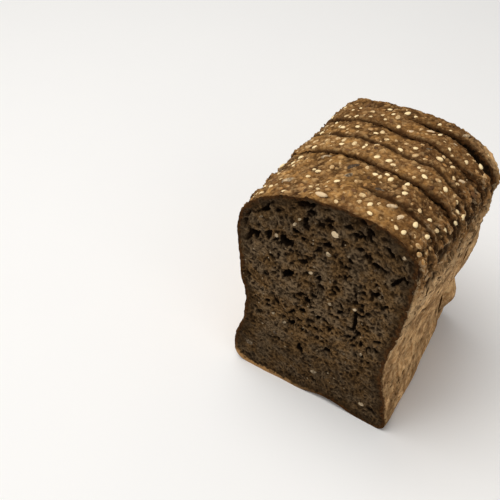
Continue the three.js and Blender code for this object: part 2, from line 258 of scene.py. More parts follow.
class CrustLine:
    """The crust's line at the cut face, a smooth curve from the left base edge to the right one."""

    def __init__(self):
        points = np.concatenate([wall_and_crown(LEFT, -1), wall_and_crown(RIGHT, 1)[::-1][1:]])
        before = 2 * points[0] - points[1]
        after = 2 * points[-1] - points[-2]
        self.knots = np.concatenate([[before], points, [after]])
        self.count = len(points)
        self.parts = np.linspace(0, 1, LINE_DIVISIONS + 1)
        steps = np.linalg.norm(np.diff(self.at_part(self.parts), axis=0), axis=1)
        self.lengths = np.concatenate([[0], np.cumsum(steps)])
        self.length = self.lengths[-1]

    def at_part(self, t):
        """Points of the curve through the knots, with the square roots of their distances as its pace."""
        place = np.asarray(t, float) * (self.count - 1)
        first = np.minimum(np.floor(place).astype(int), self.count - 2)
        part = (place - first)[..., None]
        knots = [self.knots[first + i] for i in range(4)]
        p0, p1, p2, p3 = knots
        steps = [b - a for a, b in itertools.pairwise(knots)]
        d0, d1, d2 = (np.sqrt(np.linalg.norm(step, axis=-1, keepdims=True)) for step in steps)
        leave = ((p1 - p0) / d0 - (p2 - p0) / (d0 + d1) + (p2 - p1) / d1) * d1
        arrive = ((p2 - p1) / d1 - (p3 - p1) / (d1 + d2) + (p3 - p2) / d2) * d1
        square = -3 * p1 + 3 * p2 - 2 * leave - arrive
        cube = 2 * p1 - 2 * p2 + leave + arrive
        return p1 + leave * part + square * part ** 2 + cube * part ** 3

    def part_of(self, u):
        return np.interp(np.asarray(u) * self.length, self.lengths, self.parts)

    def point(self, u):
        return self.at_part(self.part_of(u))

    def tangent(self, u):
        t = self.part_of(u)
        ahead = self.at_part(np.minimum(t + TANGENT_STEP, 1))
        way = ahead - self.at_part(np.maximum(t - TANGENT_STEP, 0))
        return way / np.linalg.norm(way, axis=-1, keepdims=True)


crust_line = CrustLine()


def lump_waves():
    """Directions and starts of the waves that make the loaf lumpy."""
    draw = draws_from(LUMP_DRAW)
    waves = []
    for _ in range(LUMP_WAVES):
        turn = 2 * math.pi * next(draw)
        rise = 2 * next(draw) - 1
        flat = math.sqrt(1 - rise * rise)
        rate = 2 * math.pi / mix(LUMP_SHORTEST, LUMP_LONGEST, next(draw))
        direction = rate * np.array([flat * math.cos(turn), flat * math.sin(turn), rise])
        waves.append((direction, 2 * math.pi * next(draw)))
    return waves


LUMPS = lump_waves()


def lumps(points):
    """Height of the loaf's lumps."""
    total = sum(np.sin(points @ direction + start) for direction, start in LUMPS)
    return LUMP_HEIGHT * total / math.sqrt(LUMP_WAVES / 2)


def tear(points):
    """Height of the torn band below the shoulders, which wanders: a groove with a lip above it."""
    x, y, z = axes(points)
    wander = sum(
        height * np.sin(per_x * x + per_y * y + start) for height, per_x, per_y, start in TEAR_WANDER
    )
    above = z - TEAR.z - wander
    groove = TEAR.depth * bell(above / TEAR.width)
    lip = TEAR.lip * bell((above - TEAR.lip_above) / TEAR.lip_width)
    swing = 1 + np.sin(TEAR_GAPE.per_y * y + TEAR_GAPE.start)
    gape = TEAR_GAPE.least + TEAR_GAPE.swing * swing
    return smooth(TEAR_X, np.abs(x)) * smooth(TEAR_Y, y) * gape * (lip - groove)


def formed(section, y):
    """Points of the cut face's section as they lie at depth y."""
    x, z = section[..., 0], section[..., 1]
    back = np.clip(y / LENGTH, 0, FURTHEST_BACK)
    on_right = smooth(RIGHT_X, x)
    on_shoulder = smooth(SHOULDER_Z, z)
    on_corner = smooth(LEFT_CORNER_X, x) * smooth(LEFT_CORNER_Z, z)
    spread = smooth(LEFT_X, x) * back * (LEFT_SPREAD + LEFT_SHOULDER_SPREAD * on_shoulder)
    foot_loss = RIGHT_FOOT_LOSS * on_right * smooth(FOOT_Z, z) * back ** FOOT_LOSS_POWER
    shoulder_loss = RIGHT_SHOULDER_LOSS * on_right * on_shoulder * back ** SHOULDER_LOSS_POWER
    on_heel_foot = smooth(HEEL_FOOT_Y, y) * bell((z - HEEL_FOOT.z) / HEEL_FOOT.reach)
    heel_foot = HEEL_FOOT.bulge * on_right * on_heel_foot
    drop = z / CROWN_Z * CROWN_DROP * back ** DROP_POWER
    lift = LEFT_CORNER_LIFT * on_corner * back
    formed_x = x - spread - foot_loss - shoulder_loss + heel_foot
    return np.stack([formed_x, y + 0 * x, z - drop + lift], axis=-1)


def bare_crust(u, depth, slope):
    """Crust points without fine relief at parts u of the line on upright cuts, and the ways out."""
    along = crust_line.point(u)
    tangent = crust_line.tangent(u)
    outward = np.stack([-tangent[..., 1], 0 * tangent[..., 0], tangent[..., 0]], axis=-1)
    near = formed(along, depth + slope * along[..., 0])
    points = formed(along, depth + slope * near[..., 0])
    raised = smooth(BARE_FOOT_Z, points[..., 2]) * (lumps(points) + tear(points))
    return points + outward * raised[..., None], outward


def slices_of_loaf():
    """The slices between the cuts, the last one being the heel."""
    slices = []
    for i, (front, back) in enumerate(itertools.pairwise(CUTS)):
        front = (front[0] + (SLICE_GAP if i else 0), front[1])
        slices.append(Values(name=f"slice_{i + 1}", front=front, back=back, round=0, cut=i))
    heel = slices[-1]
    heel.name = "heel"
    heel.front = (CUTS[HEEL_CUT][0] + HEEL_GAP, CUTS[HEEL_CUT][1] + HEEL_SWING)
    heel.round = HEEL_ROUND
    return slices


SLICES = slices_of_loaf()

# Fine relief of the crust in mm
GRAIN = Waves(0.9, 0.1, place=1, layers=2)
KNOBS = Waves(5.5, 0.45, place=3, layers=2)
STREAKS = Waves(3.4, 0.14, place=7, layers=2)
DENTS = Waves((8, 11, 8), 0.45, place=8)
ROCK = Waves((4.4, 4.4, 4.8), 1.3, place=11, layers=4)
STRANDS = Waves((7, 2.2, 7), 1.3, place=27, layers=2)
DIMPLES = Values(size=2.6, depth=0.4, share=(0.42, 0.72), place=5, field=noise)
CRACKS = Values(size=11, depth=0.4, share=(0.965, 0.995), place=6, field=ridges)
PITS = Values(size=(3, 3.6, 3), depth=1.6, share=(0.4, 0.58), place=9, field=noise)
PIT_PATCHES = Values(size=14, share=(-0.4, 0.1), place=10)
SPLITS = Values(size=(8, 14, 8), depth=0.7, share=(0.965, 0.99), place=12, field=ridges)
SPLIT_PATCHES = Values(size=14, share=(0.1, 0.4), place=13)
LEDGES = Values(pitch=5, height=2.0, level=0.7, foot=0.45, crest=0.82)
LEDGE_PATCHES = Values(size=(5, 8, 5), share=(-0.45, 0.25), place=19)
LEDGE_BEND = Waves((14, 24, 14), 1.1, place=17)
LEDGE_RAGGED = Waves((4.5, 6, 4.5), 0.42, place=18, layers=4)
LEDGE_ROCK = 0.35
ROCK_Z = (78, 90)
CRAGGY_Y = (-2, 5)
UP_FACING = (0.2, 0.5)
END_RELIEF = 0.3
SLICE_RISE = (0, -0.35, 0.2, -0.25, 0.3, -0.3)

# Meal baked into the crust, as grains of a size and a height
GRIT = [(2.4, 0.5), (1.5, 0.34)]
GRIT_SHARE = (0.35, 0.8)
GRIT_EDGE = (0.05, 0.5)
GRIT_DRAW = 300
GRIT_PALE_SHUFFLE = 37
WALL_GRIT = 0.22
CELL_GRID = 128
FAR_CELL = 9.0

# Worn edges of the crust at the cuts, with painted shade along them where a gap is open, and raised collars
# round the seeds, with a ring of painted shade
EDGE_WORN = Values(reach=1.0, depth=0.75)
EDGE_UNEVEN = Waves(2.4, 0.75, place=15)
EDGE_SHADE = 1.7
FIRST_EDGE = 0.35
COLLAR = Values(at=1.3, width=0.3, height=0.14)

# Dark zones of the crust: the torn sides above the tin's edge, and the right and back of the crown
LEFT_FACING = (0.82, 0.45)
RIGHT_FACING = (0.92, 0.66)
HEEL_FACING = (0.45, 0.1)
FACING_WANDER = Waves(5, 0.1, place=25)
TIN_EDGE_Z = (60, 75)
TIN_EDGE_WANDER = Waves(9, 5, place=21, layers=2)
TIN_EDGE_BENDS = [(-14, 4, 12), (8, 27, 9)]
DARK_RIGHT_X = (8, 38)
DARK_RIGHT_WANDER = Waves(10, 6, place=23)
DARK_RIGHT_SHARE = 0.75
DARK_BACK_Y = (36, 86)
DARK_BACK_WANDER = Waves(12, 8, place=24)
DARK_BACK_SHARE = 0.65
HEEL_Y = (74, 80)
HEEL_LOBE_X = (18, 32)
HEEL_PALE = 0.85
LOBE_EDGE = 0.9
LOBE_GREY = 0.95

# Waves of the cuts in mm, where the slices beside a cut touch, and where they gape: x, z, reach and depth
CUT_WAVES = [Waves(13, 0.32, place=31), Waves(3.4, 0.14, place=31)]
TOUCHING_Z = (100, 84)
TOUCHING_WANDER = Waves(9, 3, place=61)
TOUCHING_X = {1: (13, 2), 2: (-26, -34), 5: (12, -14)}
TOUCHING_GAP = 0.05
HEEL_OPEN_Z = (20, 36)
HEEL_FOOT_SHUT = 0.85
HEEL_DEEPER = 32
HEEL_DEEP_X = (38, 26)
GAPING = {
    1: (40, 115, 5, 0.8), 2: (36, 119, 5, 1.6), 3: (38, 117, 6, 0.7),
    4: (38, 114, 6, 0.7), 5: (36, 112, 14, 3.2),
}


def cut_wave(points, cut):
    """How far a cut leaves its plane, the same on both sides of its gap."""
    flat = points * (1, 0, 1)
    return sum(waves.at(flat, cut) for waves in CUT_WAVES)


def touching(points, cut):
    """How nearly the slices touch at a cut: 0 where the gap is open, 1 where it is shut."""
    x, _, z = axes(points)
    if cut in (0, len(CUTS) - 1):
        return 0 * z
    height = z + TOUCHING_WANDER.at(points, cut)
    most = 1
    if cut == HEEL_CUT:
        height = height + HEEL_DEEPER * smooth(HEEL_DEEP_X, x)
        most = mix(HEEL_FOOT_SHUT, 1, smooth(HEEL_OPEN_Z, z))
    shut = most * smooth(TOUCHING_Z, height)
    if cut in TOUCHING_X:
        shut = np.maximum(shut, smooth(TOUCHING_X[cut], x))
    return shut


def closing(points, cut):
    """How far the front of a slice comes forward to meet the one before it, or goes back to gape."""
    x, _, z = axes(points)
    gap = HEEL_GAP + HEEL_SWING * x if cut == HEEL_CUT else SLICE_GAP
    forward = touching(points, cut) * (gap - TOUCHING_GAP)
    if cut in GAPING:
        gape_x, gape_z, reach, most = GAPING[cut]
        forward = forward - most * bell(np.hypot(x - gape_x, z - gape_z) / reach)
    return forward


def cut_shift(points, piece, span):
    """How far points of a slice move along the loaf with the cuts before and behind it."""
    front = cut_wave(points, piece.cut) - closing(points, piece.cut)
    back = 0 if piece.round else cut_wave(points, piece.cut + 1)
    return mix(front, back, span)


def heel_lobe(points):
    """Where the heel's smooth right shoulder is: 1 on it."""
    return smooth(HEEL_Y, points[..., 1]) * smooth(HEEL_LOBE_X, points[..., 0])


def dark_zones(points, up):
    """How torn the crust of the sides is, and how dark that of the crown."""
    x, y, z = axes(points)
    bends = sum(rise * bell((y - middle) / reach) for rise, middle, reach in TIN_EDGE_BENDS)
    wander = TIN_EDGE_WANDER.at(points) - bends
    uneven = up + FACING_WANDER.at(points)
    right_side = mix(smooth(RIGHT_FACING, uneven), smooth(HEEL_FACING, uneven), smooth(HEEL_Y, y))
    sideways = np.where(x > 0, right_side, smooth(LEFT_FACING, uneven))
    torn = sideways * smooth(TIN_EDGE_Z, z + wander)
    right = smooth(DARK_RIGHT_X, x + DARK_RIGHT_WANDER.at(points))
    back = smooth(DARK_BACK_Y, y + DARK_BACK_WANDER.at(points))
    dark = np.minimum(1, DARK_RIGHT_SHARE * right + DARK_BACK_SHARE * back)
    return torn, dark * (1 - HEEL_PALE * heel_lobe(points))


def cells(flat, size, start):
    """Uneven cells of a size: how far a point lies from its cell's walls, and a draw of the cell's own."""
    rng = np.random.default_rng(start)
    spots = rng.uniform(0, 1, (CELL_GRID, CELL_GRID, 2))
    values = rng.uniform(0, 1, (CELL_GRID, CELL_GRID))
    place = flat / size
    whole = np.floor(place).astype(int)
    nearest = np.full(flat.shape[:-1], FAR_CELL)
    second = nearest.copy()
    own = 0 * nearest
    for step in itertools.product((-1, 0, 1), repeat=2):
        index = (whole + step) % CELL_GRID
        index = (index[..., 0], index[..., 1])
        away = np.linalg.norm(whole + step + spots[index] - place, axis=-1)
        closer = away < nearest
        second = np.where(closer, nearest, np.minimum(second, away))
        own = np.where(closer, values[index], own)
        nearest = np.where(closer, away, nearest)
    return second - nearest, own


def grit(flat):
    """Meal baked into the crust: how high it stands, how much of it shows, and how pale each grain is."""
    height, shown, pale = 0, 0, 0
    for i, (size, most) in enumerate(GRIT):
        inside, own = cells(flat, size, GRIT_DRAW + i)
        bump = smooth(GRIT_SHARE, own) * smooth(GRIT_EDGE, inside)
        height = height + most * bump
        pale = np.where(bump > shown, own * GRIT_PALE_SHUFFLE % 1, pale)
        shown = np.maximum(shown, bump)
    return height, shown, pale


def patches(points, sort):
    """Where a sort of relief that comes in patches shows: 0 outside its patches, 1 in them."""
    return smooth(sort.share, noise(points, sort.size, sort.place))


def hollows(points, sort):
    """Depth of a sort of hollow where its field is high."""
    return sort.depth * smooth(sort.share, sort.field(points, sort.size, sort.place))


def ledges(points):
    """Lips of crust torn along the loaf, one above another. Each swells upwards and then drops in."""
    level = points[..., 2] / LEDGES.pitch + LEDGE_BEND.at(points) + LEDGE_RAGGED.at(points)
    part = level - np.floor(level)
    lip = smooth((0, LEDGES.foot), part) * smooth((1, LEDGES.crest), part)
    return LEDGES.height * (lip - LEDGES.level) * patches(points, LEDGE_PATCHES)


def crust_relief(points, up, flat):
    """Fine relief along the way out. The flat points are the same ones spread out on the crust."""
    top = smooth(UP_FACING, up)
    behind_face = smooth(CRAGGY_Y, points[..., 1])
    torn = dark_zones(points, up)[0] * behind_face
    meal = grit(flat)[0] * mix(WALL_GRIT, 1, top)
    crown = KNOBS.at(points) - hollows(points, DIMPLES) - hollows(points, CRACKS)
    pits = hollows(points, PITS) * patches(points, PIT_PATCHES)
    splits = hollows(points, SPLITS) * patches(points, SPLIT_PATCHES)
    wall = STREAKS.at(points) + DENTS.at(points) - (pits + splits) * behind_face
    rock = ROCK.at(points)
    lower = ledges(points) + LEDGE_ROCK * rock
    upper = rock + STRANDS.at(points)
    rough = mix(lower, upper, smooth(ROCK_Z, points[..., 2]))
    return GRAIN.at(points) + meal + mix(wall, crown, top) + torn * rough


def crust_marks(points, up, flat):
    """How browned, torn and dark the crust is at points, and how much and how pale meal shows there."""
    torn, dark = dark_zones(points, up)
    _, meal, pale = grit(flat)
    return dict(browned=smooth(UP_FACING, up), torn=torn, dark=dark, meal=meal, pale=pale)


def edge_share(cut):
    """How much the crust's edge at a cut is worn and given painted shade: less at the loaf's own cut face.
    """
    return 1 if cut else FIRST_EDGE


def edge_loss(points, away, cut):
    """How far the crust's edge at a cut is worn back, at points some way from it."""
    ragged = EDGE_WORN.depth + EDGE_UNEVEN.at(points)
    return edge_share(cut) * bell(away / EDGE_WORN.reach) * ragged * (1 - touching(points, cut))


def seed_frame(seed):
    """The ways along a seed, across it and out of the crust."""
    tangent = crust_line.tangent(seed.u)
    tangent = np.array([tangent[0], 0, tangent[1]])
    outward = np.array([-tangent[2], 0, tangent[0]])
    along = tangent * math.cos(seed.turn) + np.array([0, math.sin(seed.turn), 0])
    return along, np.cross(outward, along), outward


def collars(points, seeds):
    """How near a point of the crust is to the edge of a seed: 1 all round it."""
    collar = np.zeros(points.shape[:-1])
    for seed in seeds:
        along, across, _ = seed_frame(seed)
        away = points - seed.point
        length, breadth = seed.size[:2]
        round_it = np.hypot(away @ along / (length / 2), away @ across / (breadth / 2))
        near = np.linalg.norm(away, axis=-1) < length
        collar = np.maximum(collar, near * bell((round_it - COLLAR.at) / COLLAR.width))
    return collar


def rows_of(piece):
    """Cuts through a slice from front to back as depth, slope and inset, the heel's last ones drawn in."""
    front, back = piece.front, piece.back
    end = back[0] - piece.round
    run = end - front[0]
    count = round((run - 2 * EDGE_ROWS[-1]) / CRUST_STEP)
    inner = np.linspace(EDGE_ROWS[-1], run - EDGE_ROWS[-1], count + 1)[1:-1]
    part = np.concatenate([EDGE_ROWS, inner, run - np.array(EDGE_ROWS[::-1])]) / run
    rows = np.stack([mix(front[0], end, part), mix(front[1], back[1], part), 0 * part], axis=1)
    if piece.round:
        angle = np.linspace(0, math.pi / 2, ROUND_ROWS + 1)[1:]
        depth = end + piece.round * np.sin(angle)
        inset = piece.round * (1 - np.cos(angle))
        rows = np.concatenate([rows, np.stack([depth, 0 * angle + back[1], inset], axis=1)])
    return rows


def underside(x, depth):
    """Height of the base, which is lifted at the front edge."""
    across = np.maximum(0, 1 - ((x - LIFT.x) / LIFT.half_width) ** 2)
    return LIFT.height * across ** 2 * smooth((LIFT.run, 0), depth)


def base_rows(points, depth, inset):
    """Points of the base between the right and the left base edge of each ring."""
    columns = round(2 * LEFT.foot / BASE_STEP)
    part = (np.arange(1, columns) / columns)[None, :, None]
    base = mix(points[:, -1:], points[:, :1], part)
    base[..., 2] = inset + underside(base[..., 0], depth)
    return base


def crust_grid(piece, seeds):
    """Rings of a slice as points, with the marks of each."""
    rows = rows_of(piece)
    depth, slope, inset = (rows[:, i, None] for i in range(3))
    columns = round(crust_line.length / CRUST_STEP)
    u = np.linspace(0, 1, columns + 1)[None, :] + 0 * depth
    points, outward = bare_crust(u, depth, slope)
    up = outward[..., 2]
    flat = np.stack([u * crust_line.length, points[..., 1]], axis=-1)
    marks = crust_marks(points, up, flat)
    collar = collars(points, [seed for seed in seeds if seed.slice is piece])
    relief = crust_relief(points, up, flat) + COLLAR.height * collar
    relief = relief + SLICE_RISE[piece.cut] * marks["browned"]
    edges = [(piece.cut, depth - rows[0, 0])]
    if not piece.round:
        edges.append((piece.cut + 1, rows[-1, 0] - depth))
    edge = 0
    for cut, away in edges:
        relief = relief - edge_loss(points, away, cut)
        # Painted shade along the cut, where the gap is open
        edge = edge + edge_share(cut) * bell(away / EDGE_SHADE) * (1 - touching(points, cut))
    relief = relief * smooth(BARE_FOOT_Z, points[..., 2]) * mix(1, END_RELIEF, inset / HEEL_ROUND)
    points = points + outward * (relief - inset)[..., None]
    points[..., 1] = depth + slope * points[..., 0]
    points[..., 2] = np.maximum(points[..., 2], inset)
    lobe = heel_lobe(points)
    browned = marks["browned"] * (1 - LOBE_GREY * lobe)
    marks.update(browned=browned, relief=relief, edge=edge * (1 - LOBE_EDGE * lobe), collar=collar)
    base = base_rows(points, depth, inset)
    none = np.zeros(base.shape[:2])
    marks = {key: np.concatenate([values, none], axis=1) for key, values in marks.items()}
    rings = np.concatenate([points, base], axis=1)
    span = (depth - rows[0, 0]) / (rows[-1, 0] - rows[0, 0])
    rings[..., 1] += cut_shift(rings, piece, span)
    return rings, marks


# Crumb of the cut faces in mm
PORE_DEPTH = (1.1, 1.6)
HOLE_WOBBLE = Waves(2.0, 0.35, place=53, layers=2)
HOLE_LIP = Values(at=1.15, width=0.16, height=0.04)
BOWL_POWER = 0.8
FLOW_CENTRE = np.array([2, 60])
FLOW_STRETCH = 1.35
FLOW_ROUND = 30
FLOW_RADIUS = (22, 44)
FLOW_Z = (58, 88)
CRUMB_WAVES = Waves(8, 0.3, place=41)
CRUMB_ROUGH = Waves(1.0, 0.14, place=43, layers=2)
LARGE_CELLS = [(3.4, (0.55, 0.9), 1.7), (2.3, (0.5, 0.9), 1.1)]
LARGE_DRAWS = (100, 103)
SMALL_CELLS = [(1.6, (0.3, 0.95), 0.5), (1.1, (0.2, 0.9), 0.2)]
SMALL_DRAWS = (106, 108)
FACE_DRAWS = 10
FACE_APART = 7
CELL_WALL = (0.05, 0.4)
CELL_WARP = Waves(2.2, 0.5, place=71)
RIM_QUIET = (0.1, 1.6)
RIM_WANDER = Waves(3, 0.8, place=47)
GAP_SHADE = Values(depth=1.6, reach=5)
END_UP = 0.95
END_CROWN_Z = (94, 108)
END_WANDER = Waves(9, 4, place=49)
DENSE_RIM = (6, 1)
DENSE_RIM_SHARE = 0.35
DENSE_RIM_WANDER = Waves(6, 2, place=45)
DENSE_LOW = 0.4
DENSE_LOW_Z = (22, 50)
DENSE_LOW_WANDER = Waves(12, 5, place=46)
GRID_UNEVEN = 0.18
GRID_CLEAR = 0.55
INSIDE_ONLY = 1
SAME_POINT = 1e-6

# Grains that show in the cut face: x, z, length, breadth, turn in degrees, and how pale each is
GRAINS = [
    (6.9, 110.5, 5.2, 4.2, 27, 1.3), (4.6, 98.3, 3.3, 3.1, 0, 0.5), (-3.1, 83.2, 2.2, 2.7, -45, 0.6),
    (-10.2, 110.3, 2.7, 1.8, 47, 0.6), (-12.2, 106.8, 3.6, 1.7, 51, 0.5), (-21, 95.9, 2.2, 2.3, 27, 0.6),
    (36.9, 113.2, 2.2, 2.2, -12, 0.4), (13.8, 102.1, 1.8, 1.7, 12, 0.4), (-29, 102.9, 3.4, 1.4, 43, 0.3),
    (-15.2, 43.4, 3, 1.8, 44, 0.5), (-34.9, 16.2, 5.1, 4.6, -18, 0.2), (28.9, 11.9, 4.3, 3.6, 11, 0.6),
    (2.2, 18.4, 4.9, 3.2, 28, 0.4), (24.8, 46.3, 2.7, 1.7, -84, 0.4), (19.3, 73, 2.7, 1.8, 31, 0.6),
    (-19.9, 33.5, 3.5, 3.3, 12, 0.2), (-21.3, 46.3, 2.6, 2.1, 31, 0.4), (7.5, 69.8, 2, 2.8, -3, 0.4),
]
SMALL_GRAINS = Values(count=120, length=(0.7, 1.6), flat=(0.5, 0.8), tone=(0, 0.45))
GRAIN_HEIGHT = 0.5
GRAIN_SHOWN = 0.85
GRAIN_SUNK = 0.13
GRAIN_BED = 0.75
GRAINY_LOW = np.array([-38, 8])
GRAINY_HIGH = np.array([38, 118])
GRAIN_TRIES = 6
HELD_DEPTH = 0.3


def standing(flat, y):
    """Flat points of a cut face as they stand at depth y."""
    return np.column_stack([flat[:, 0], y + 0 * flat[:, 0], flat[:, 1]])


def pore_depths(flat, pores, rng):
    """Depth of the crumb's surface at flat points, from holes of uneven outline."""
    depth = np.zeros(len(flat))
    pores = np.array(pores, float).reshape(-1, 5)
    deep = pores[:, 3] * rng.uniform(*PORE_DEPTH, len(pores))
    wobble = HOLE_WOBBLE.at(standing(flat, 0))
    for (x, z, length, breadth, turn), most in zip(pores, deep):
        near = np.nonzero(np.hypot(flat[:, 0] - x, flat[:, 1] - z) < length)[0]
        dx, dz = flat[near, 0] - x, flat[near, 1] - z
        cos, sin = math.cos(math.radians(turn)), math.sin(math.radians(turn))
        along = (dx * cos + dz * sin) / (length / 2)
        across = (dz * cos - dx * sin) / (breadth / 2)
        away = np.hypot(along, across) * (1 + wobble[near])
        bowl = most * np.sqrt(np.maximum(0, 1 - away ** 2)) ** BOWL_POWER
        lip = HOLE_LIP.height * breadth * bell((away - HOLE_LIP.at) / HOLE_LIP.width)
        depth[near] = np.maximum(depth[near] - lip, bowl)
    return depth


def foam(flat, sorts, start):
    """Depth of the cells of crumb of several sizes over one another."""
    depth = 0
    for i, (size, share, most) in enumerate(sorts):
        inside, own = cells(flat, size, start + i)
        depth = depth + most * smooth(share, own) * smooth(CELL_WALL, inside)
    return depth


def crumb_cells(flat, face, open_share):
    """Depth of the crumb's cells, which lie along the crust under the crown and any way below."""
    space = standing(flat, FACE_APART * face)
    bent = flat + np.column_stack([CELL_WARP.at(space, i) for i in range(2)])
    away = (bent - FLOW_CENTRE) * (FLOW_STRETCH, 1)
    radius = np.hypot(away[:, 0], away[:, 1])
    along = np.column_stack([np.arctan2(away[:, 0], away[:, 1]) * FLOW_ROUND, radius])
    share = smooth(FLOW_RADIUS, radius) * smooth(FLOW_Z, flat[:, 1])
    depths = []
    for sorts, starts in ((LARGE_CELLS, LARGE_DRAWS), (SMALL_CELLS, SMALL_DRAWS)):
        any_way, flowing = (start + FACE_DRAWS * face for start in starts)
        depths.append(mix(foam(bent, sorts, any_way), foam(along, sorts, flowing), share))
    large, small = depths
    return open_share * large + small


def grid_inside(outline, step, rng):
    """Uneven points of a triangle grid inside an outline, clear of it, and their distance from it."""
    low, high = outline.min(0), outline.max(0)
    z = np.arange(low[1], high[1], step * math.sqrt(3) / 2)
    x = np.arange(low[0], high[0], step)
    grid = np.stack(np.meshgrid(x, z), axis=-1)
    grid[1::2, :, 0] += step / 2
    grid = grid.reshape(-1, 2)
    grid = grid + rng.uniform(-GRID_UNEVEN, GRID_UNEVEN, grid.shape) * step
    inside = np.zeros(len(grid), bool)
    for (x1, z1), (x2, z2) in zip(outline, np.roll(outline, -1, axis=0)):
        crosses = (z1 > grid[:, 1]) != (z2 > grid[:, 1])
        rise = z2 - z1 if z2 != z1 else 1
        inside ^= crosses & (grid[:, 0] < x1 + (grid[:, 1] - z1) / rise * (x2 - x1))
    grid = grid[inside]
    tree = kdtree.KDTree(len(outline))
    for i, (x1, z1) in enumerate(outline):
        tree.insert((x1, z1, 0), i)
    tree.balance()
    away = np.array([tree.find((x1, z1, 0))[2] for x1, z1 in grid])
    clear = away > GRID_CLEAR * step
    return grid[clear], away[clear]


def triangles_inside(outline, grid, facing_back):
    """Triangles between the points of an outline and those inside it, facing the front or the back."""
    flat = np.concatenate([outline, grid])
    count = len(outline)
    loop = [(i, (i + 1) % count) for i in range(count)]
    found = geometry.delaunay_2d_cdt([Vector(p) for p in flat], loop, [], INSIDE_ONLY, SAME_POINT)
    triangles = np.array(found[2])
    first, second, third = (flat[triangles[:, i]] for i in range(3))
    wrong = (np.cross(second - first, third - first) > 0) == facing_back
    triangles[wrong] = triangles[wrong][:, ::-1]
    return triangles


def grain_bed(flat):
    """Where the crumb holds one of the grains of the cut face: 1 under a grain."""
    bed = np.zeros(len(flat))
    for x, z, length, breadth, *_ in GRAINS:
        reach = GRAIN_BED * (length + breadth) / 2
        bed = np.maximum(bed, bell(np.hypot(flat[:, 0] - x, flat[:, 1] - z) / reach))
    return bed


def crusty_end(points, flat, quiet):
    """Points and marks of the crust that closes the heel."""
    up = END_UP * smooth(END_CROWN_Z, flat[:, 1] + END_WANDER.at(points))
    relief = quiet * crust_relief(points, up, flat)
    marks = dict(relief=relief, **crust_marks(points, up, flat))
    points[:, 1] += relief
    return points, marks


def crumb_face(points, flat, quiet, away, piece, at_back, rng):
    """Points and marks of the crumb of a cut face."""
    face = 2 * piece.cut + at_back
    is_first = face == 0
    holes = pore_depths(flat, HOLES if is_first else [], rng)
    open_share = mix(1, DENSE_RIM_SHARE, smooth(DENSE_RIM, away + DENSE_RIM_WANDER.at(points)))
    height = flat[:, 1] + DENSE_LOW_WANDER.at(points)
    open_share = open_share * mix(DENSE_LOW, 1, smooth(DENSE_LOW_Z, height))
    pore = quiet * np.maximum(holes, crumb_cells(flat, face, open_share))
    if is_first:
        pore = pore * (1 - grain_bed(flat))
    relief = pore + quiet * (CRUMB_WAVES.at(points, face) + CRUMB_ROUGH.at(points, face))
    points[:, 1] += cut_wave(points, piece.cut + at_back) + np.where(at_back, -relief, relief)
    if not at_back:
        points[:, 1] -= closing(points, piece.cut)
    # Painted shade on the hidden faces near the crust, which shows in the gaps between slices, goes into
    # the pore mark
    shade = 0 if is_first else GAP_SHADE.depth * bell(away / GAP_SHADE.reach)
    return points, dict(relief=relief, pore=pore + shade, rim=away)


def cut_face(ring, piece, at_back):
    """Points, triangles and marks of the end inside a ring. The ring's own points come before these."""
    face = 2 * piece.cut + at_back
    is_end = at_back and piece.round
    step = END_STEP if is_end else HIDDEN_STEP if face else FRONT_STEP
    rng = np.random.default_rng(face)
    outline = ring[:, (0, 2)]
    flat, away = grid_inside(outline, step, rng)
    depth, slope = piece.back if at_back else piece.front
    points = standing(flat, depth + slope * flat[:, 0])
    quiet = smooth(RIM_QUIET, away + RIM_WANDER.at(points))
    if is_end:
        points, marks = crusty_end(points, flat, quiet)
    else:
        points, marks = crumb_face(points, flat, quiet, away, piece, at_back, rng)
    return points, triangles_inside(outline, flat, at_back), marks


# Meshes of the slices, with the crust as their first material and the crumb as their second
MARKS = ("browned", "torn", "dark", "relief", "edge", "collar", "meal", "pale", "pore", "rim")
CRUST, CRUMB = 0, 1


def make_mesh(name, points, faces, marks, materials, face_materials=None):
    """A mesh object from points in the loaf's frame, with a value of each mark at each point."""
    mesh = bpy.data.meshes.new(name)
    mesh.from_pydata(((points + LOAF_SHIFT) * MM).tolist(), [], faces)
    mesh.validate()
    for key, values in marks.items():
        layer = mesh.attributes.new(key, "FLOAT", "POINT")
        layer.data.foreach_set("value", np.asarray(values, np.float32))
    for material in materials:
        mesh.materials.append(material)
    if face_materials is not None:
        mesh.polygons.foreach_set("material_index", np.asarray(face_materials, np.int32))
    mesh.polygons.foreach_set("use_smooth", np.ones(len(mesh.polygons), bool))
    mesh.update()
    piece = bpy.data.objects.new(name, mesh)
    bpy.context.scene.collection.objects.link(piece)
    return piece


def ring_quads(index):
    """Faces between rings of points, which are numbered ring by ring."""
    after = np.roll(index, -1, axis=1)
    return np.stack([index[:-1], after[:-1], after[1:], index[1:]], axis=-1).reshape(-1, 4).tolist()


def slice_piece(piece, seeds, materials):
    """The mesh of one slice: rings of crust and base, and a face at each end."""
    rings, ring_marks = crust_grid(piece, seeds)
    rows, columns = rings.shape[:2]
    index = np.arange(rows * columns).reshape(rows, columns)
    faces = ring_quads(index)
    face_materials = [CRUST] * len(faces)
    points = rings.reshape(-1, 3)
    none = np.zeros(index.shape)
    marks = {key: ring_marks.get(key, none).reshape(-1) for key in MARKS}
    for at_back in (False, True):
        end = -1 if at_back else 0
        inner, triangles, inner_marks = cut_face(rings[end], piece, at_back)
        names = np.concatenate([index[end], len(points) + np.arange(len(inner))])
        faces += names[triangles].tolist()
        face_materials += [CRUST if at_back and piece.round else CRUMB] * len(triangles)
        points = np.concatenate([points, inner])
        none = np.zeros(len(inner))
        marks = {key: np.concatenate([values, inner_marks.get(key, none)]) for key, values in marks.items()}
    return make_mesh(f"bread_{piece.name}", points, faces, marks, materials, face_materials)


# Places of the seeds
def behind(point, cut):
    """How far a point lies behind a cut."""
    return (point[1] - cut[0] - cut[1] * point[0]) / math.hypot(1, cut[1])


